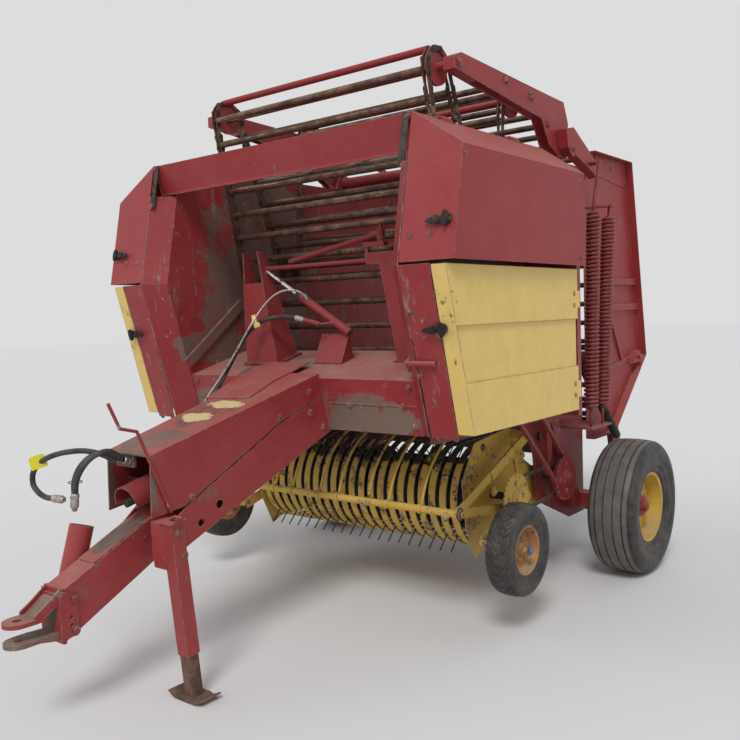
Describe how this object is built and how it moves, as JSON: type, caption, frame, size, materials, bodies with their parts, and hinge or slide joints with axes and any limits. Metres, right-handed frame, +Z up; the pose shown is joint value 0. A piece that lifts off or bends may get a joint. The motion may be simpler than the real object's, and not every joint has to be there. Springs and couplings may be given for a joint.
{
  "type": "round baler",
  "caption": "Towed chain-and-slat round baler with tined pickup, hinged tailgate, side covers, drawbar clevis and tongue jack.",
  "frame": {"origin": "centre of the footprint on the ground, the base of the box round the whole machine", "axes": "+X to the machine's left, +Y to its rear (the tailgate), -Y to the hitch, +Z up"},
  "size_m": [2.56, 4.32, 2.8465],
  "materials": {
    "red_paint": "faded, worn and dusty paint",
    "yellow_paint": "faded, chipped paint",
    "worn_steel": "worn, lightly rusted",
    "dark_steel": "dark, dirty",
    "tyre_rubber": "worn rubber, grey with dust",
    "hose_rubber": "black hose rubber, dusty"
  },
  "bodies": {
    "frame": {"wall_left": "red_paint", "wall_right": "red_paint", "front_beam": "red_paint", "deck_beam": "red_paint", "tongue_beam": "red_paint", "tongue_cover": "red_paint", "clevis": "red_paint", "axle_beam": "red_paint", "gearbox": "dark_steel", "drive_left": "red_paint", "cross_shafts": "worn_steel", "takeup_arms": "red_paint", "takeup_shafts": "red_paint", "apron_front": "worn_steel", "springs_left": "red_paint", "springs_right": "red_paint", "twine_tower": "red_paint", "hose_rod": "worn_steel", "hose_a": "hose_rubber", "hose_b": "hose_rubber", "hose_c": "hose_rubber", "hose_couplers": "dark_steel", "twine_hose": "hose_rubber", "jack_tube": "red_paint", "pto_shroud": "red_paint", "pto_tube": "red_paint"},
    "roll": {"floor_roll": "worn_steel"},
    "input_shaft": {"pto_shaft": "worn_steel"},
    "twine": {"twine_arm": "worn_steel"},
    "jack": {"jack_leg": "worn_steel"},
    "upper_cover_left": {"cover_left": "red_paint"},
    "upper_cover_right": {"cover_right": "red_paint"},
    "lower_door_left": {"door_left": "yellow_paint"},
    "lower_door_right": {"door_right": "yellow_paint"},
    "tailgate": {"gate_left": "red_paint", "gate_right": "red_paint", "gate_frame": "red_paint", "gate_rolls": "worn_steel", "apron_rear": "worn_steel"},
    "barrel_left": {"gate_barrel_left": "dark_steel"},
    "barrel_right": {"gate_barrel_right": "dark_steel"},
    "ram_left": {"gate_rod_left": "dark_steel"},
    "ram_right": {"gate_rod_right": "dark_steel"},
    "pickup": {"pickup_frame": "yellow_paint", "pickup_bands": "yellow_paint", "windguard": "yellow_paint", "gauge_arms": "yellow_paint"},
    "reel": {"pickup_reel": "dark_steel"},
    "gauge_left": {"gauge_wheel_left": "yellow_paint"},
    "gauge_right": {"gauge_wheel_right": "yellow_paint"},
    "wheel_left": {"road_tyre_left": "tyre_rubber", "road_rim_left": "yellow_paint"},
    "wheel_right": {"road_tyre_right": "tyre_rubber", "road_rim_right": "yellow_paint"}
  },
  "joints": [
    {"name": "wheel_left_spin", "type": "hinge", "parent": "frame", "child": "wheel_left", "pos_m": [1.14, 1.14, 0.3925], "axis": [1, 0, 0], "continuous": true},
    {"name": "wheel_right_spin", "type": "hinge", "parent": "frame", "child": "wheel_right", "pos_m": [-1.14, 1.14, 0.3925], "axis": [1, 0, 0], "continuous": true},
    {"name": "pickup_lift", "type": "hinge", "parent": "frame", "child": "pickup", "pos_m": [0, 0.69, 0.615], "axis": [1, 0, 0], "range_deg": [-3, 14]},
    {"name": "reel_spin", "type": "hinge", "parent": "pickup", "child": "reel", "pos_m": [0, 0.17, 0.595], "axis": [1, 0, 0], "continuous": true},
    {"name": "gauge_left_spin", "type": "hinge", "parent": "pickup", "child": "gauge_left", "pos_m": [1.055, -0.125, 0.419], "axis": [1, 0, 0], "continuous": true},
    {"name": "gauge_right_spin", "type": "hinge", "parent": "pickup", "child": "gauge_right", "pos_m": [-1.055, -0.125, 0.419], "axis": [1, 0, 0], "continuous": true},
    {"name": "roll_spin", "type": "hinge", "parent": "frame", "child": "roll", "pos_m": [0, 0.64, 0.85], "axis": [1, 0, 0], "continuous": true},
    {"name": "input_spin", "type": "hinge", "parent": "frame", "child": "input_shaft", "pos_m": [0, -1.47, 0.842], "axis": [0, -0.9713, -0.2377], "continuous": true},
    {"name": "tailgate_open", "type": "hinge", "parent": "frame", "child": "tailgate", "pos_m": [0, 1.37, 2.45], "axis": [1, 0, 0], "range_deg": [0, 50]},
    {"name": "barrel_left_swing", "type": "hinge", "parent": "frame", "child": "barrel_left", "pos_m": [0.9, 0.71, 1.497], "axis": [1, 0, 0], "range_deg": [-45, 45]},
    {"name": "barrel_right_swing", "type": "hinge", "parent": "frame", "child": "barrel_right", "pos_m": [-0.9, 0.71, 1.497], "axis": [1, 0, 0], "range_deg": [-45, 45]},
    {"name": "ram_left_slide", "type": "slide", "parent": "barrel_left", "child": "ram_left", "axis": [0, 0.7213, -0.6926], "range_m": [0, 1.1]},
    {"name": "ram_right_slide", "type": "slide", "parent": "barrel_right", "child": "ram_right", "axis": [0, 0.7213, -0.6926], "range_m": [0, 1.1]},
    {"name": "cover_left_lift", "type": "hinge", "parent": "frame", "child": "upper_cover_left", "pos_m": [0.886, 0.22, 2.448], "axis": [0, -1, 0], "range_deg": [0, 70]},
    {"name": "cover_right_lift", "type": "hinge", "parent": "frame", "child": "upper_cover_right", "pos_m": [-0.886, 0.22, 2.448], "axis": [0, 1, 0], "range_deg": [0, 70]},
    {"name": "door_left_swing", "type": "hinge", "parent": "frame", "child": "lower_door_left", "pos_m": [1.117, 0.456, 1.15], "axis": [0, 0, 1], "range_deg": [0, 100]},
    {"name": "door_right_swing", "type": "hinge", "parent": "frame", "child": "lower_door_right", "pos_m": [-1.117, 0.456, 1.15], "axis": [0, 0, -1], "range_deg": [0, 100]},
    {"name": "jack_lift", "type": "slide", "parent": "frame", "child": "jack", "axis": [0, -0.0958, 0.9954], "range_m": [0, 0.16]},
    {"name": "twine_arm_swing", "type": "hinge", "parent": "frame", "child": "twine", "pos_m": [0.41, -0.3, 1.98], "axis": [0, 0, 1], "range_deg": [0, 45]}
  ],
  "couplings": [
    {"joint": "barrel_left_swing", "follows": "tailgate_open", "ratio": 0.86311},
    {"joint": "barrel_right_swing", "follows": "tailgate_open", "ratio": 0.86311},
    {"joint": "ram_left_slide", "follows": "tailgate_open", "m_per_rad": 1.0984},
    {"joint": "ram_right_slide", "follows": "tailgate_open", "m_per_rad": 1.0984}
  ]
}
